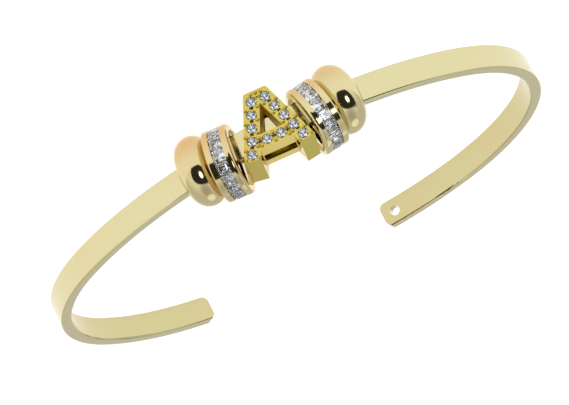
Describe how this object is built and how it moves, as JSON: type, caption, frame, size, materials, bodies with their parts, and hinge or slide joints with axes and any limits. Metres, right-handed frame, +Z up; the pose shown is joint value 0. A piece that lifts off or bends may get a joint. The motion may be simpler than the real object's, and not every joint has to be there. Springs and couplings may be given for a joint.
{
  "type": "slider charm bangle",
  "caption": "Open oval gold-coloured bangle of flat strip, with a stone-set letter between stone rings and plain stopper beads that slide on its front.",
  "frame": {"origin": "on the floor, under the middle of the whole piece's box", "axes": "+Z up as the bangle lies on its side; the charms face -Y and the gap in the band faces +Y; +X to the right of a viewer in front"},
  "size_m": [0.062, 0.0526, 0.0095],
  "materials": {
    "gold": "polished pale gold plate",
    "letter_gold": "polished yellow gold plate",
    "clear_stone": "clear cut stones"
  },
  "bodies": {
    "band": {"band": "gold"},
    "letter": {"letter": "letter_gold", "letter_stone_1": "clear_stone", "letter_stone_2": "clear_stone", "letter_stone_3": "clear_stone", "letter_stone_4": "clear_stone", "letter_stone_5": "clear_stone", "letter_stone_6": "clear_stone", "letter_stone_7": "clear_stone", "letter_stone_8": "clear_stone", "letter_stone_9": "clear_stone", "letter_stone_10": "clear_stone", "letter_stone_11": "clear_stone", "letter_stone_12": "clear_stone"},
    "ring_left": {"stone_ring_left": "gold", "ring_stones_left": "clear_stone"},
    "ring_right": {"stone_ring_right": "gold", "ring_stones_right": "clear_stone"},
    "stopper_left": {"stopper_bead_left": "gold"},
    "stopper_right": {"stopper_bead_right": "gold"}
  },
  "joints": [
    {"name": "letter_slide", "type": "hinge", "parent": "band", "child": "letter", "pos_m": [-0.00008, 0.01108, 0.0024], "axis": [0.0012, 0.0586, 0.9983], "range_deg": [-8, 8]},
    {"name": "ring_left_slide", "type": "hinge", "parent": "letter", "child": "ring_left", "pos_m": [-0.00008, 0.01108, 0.0024], "axis": [0.0012, 0.0586, 0.9983], "range_deg": [-8, 0]},
    {"name": "ring_right_slide", "type": "hinge", "parent": "letter", "child": "ring_right", "pos_m": [-0.00008, 0.01108, 0.0024], "axis": [0.0012, 0.0586, 0.9983], "range_deg": [0, 8]},
    {"name": "stopper_left_slide", "type": "hinge", "parent": "ring_left", "child": "stopper_left", "pos_m": [-0.00008, 0.01108, 0.0024], "axis": [0.0012, 0.0586, 0.9983], "range_deg": [-10, 0]},
    {"name": "stopper_right_slide", "type": "hinge", "parent": "ring_right", "child": "stopper_right", "pos_m": [-0.00008, 0.01108, 0.0024], "axis": [0.0012, 0.0586, 0.9983], "range_deg": [0, 10]}
  ]
}
